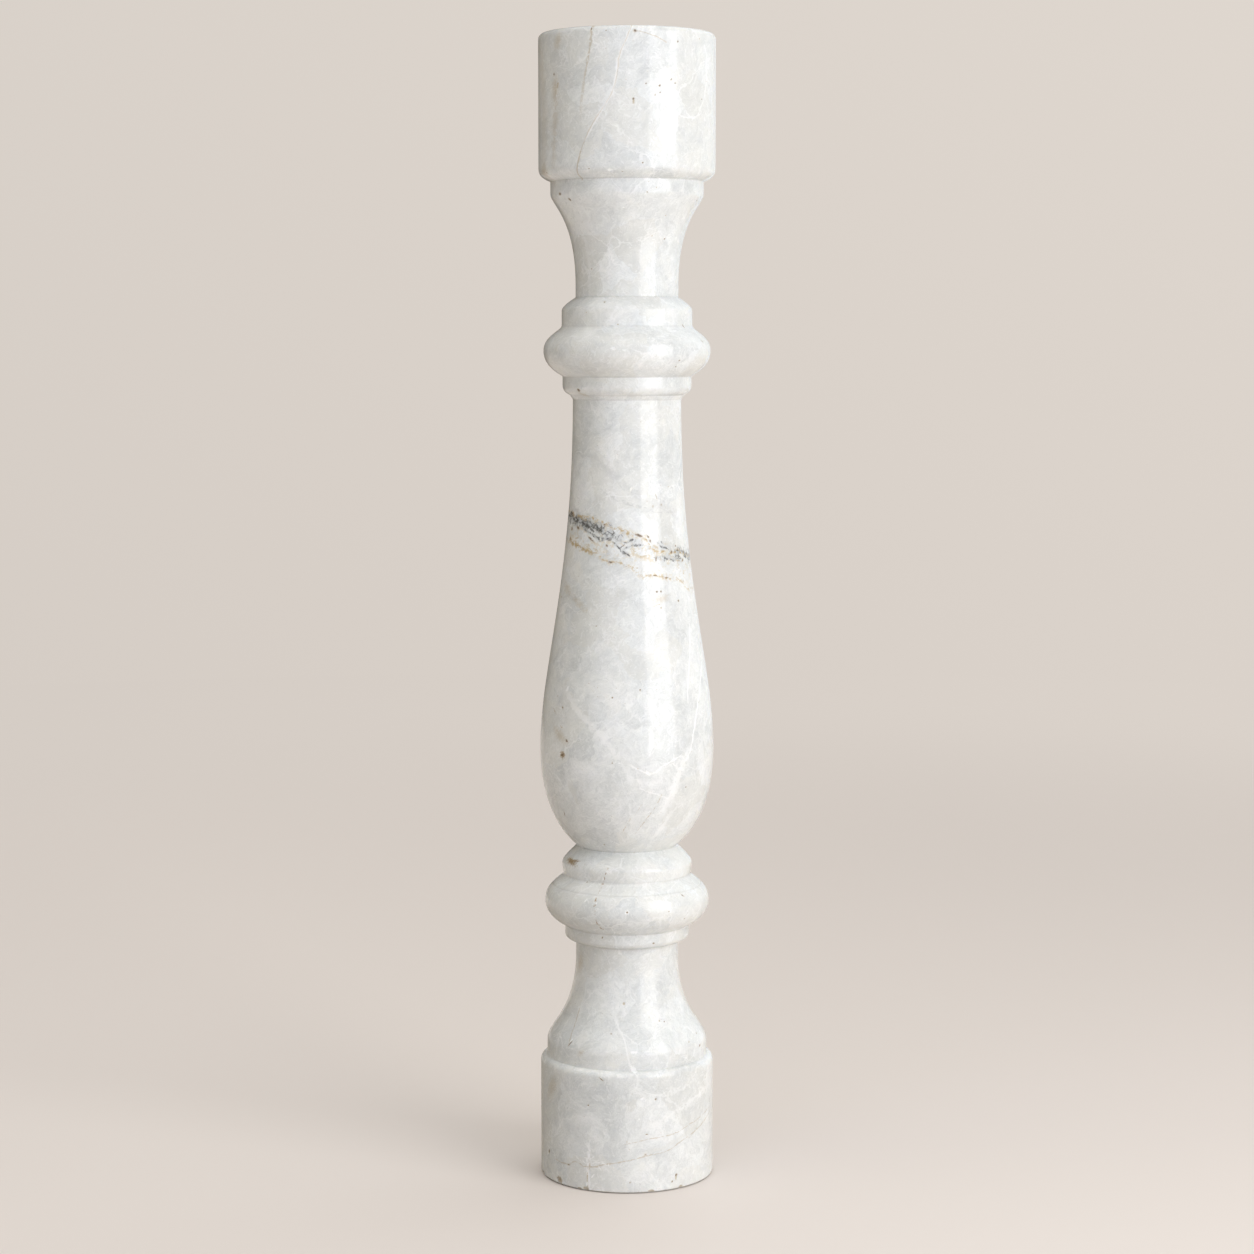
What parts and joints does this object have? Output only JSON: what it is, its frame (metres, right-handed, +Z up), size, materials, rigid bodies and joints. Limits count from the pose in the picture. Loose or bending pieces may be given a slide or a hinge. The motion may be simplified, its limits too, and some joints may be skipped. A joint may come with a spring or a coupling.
{
  "type": "stone baluster",
  "caption": "Turned stone baluster: round base and top drums joined by a vase-shaped shaft between moulded collars, for a balustrade or stair rail.",
  "frame": {"origin": "centre of the round underside of the base drum, where the baluster is bedded", "axes": "+Z up along the turning axis; the part is round about it, and the view that the veining was laid out for faces -Y"},
  "size_m": [0.1199, 0.12, 0.784],
  "materials": {
    "marble": "polished white-grey marble with tan hairline veins, one charcoal and ochre vein, small pits and chipped arrises"
  },
  "bodies": {
    "root": {"baluster": "marble"}
  },
  "joints": []
}
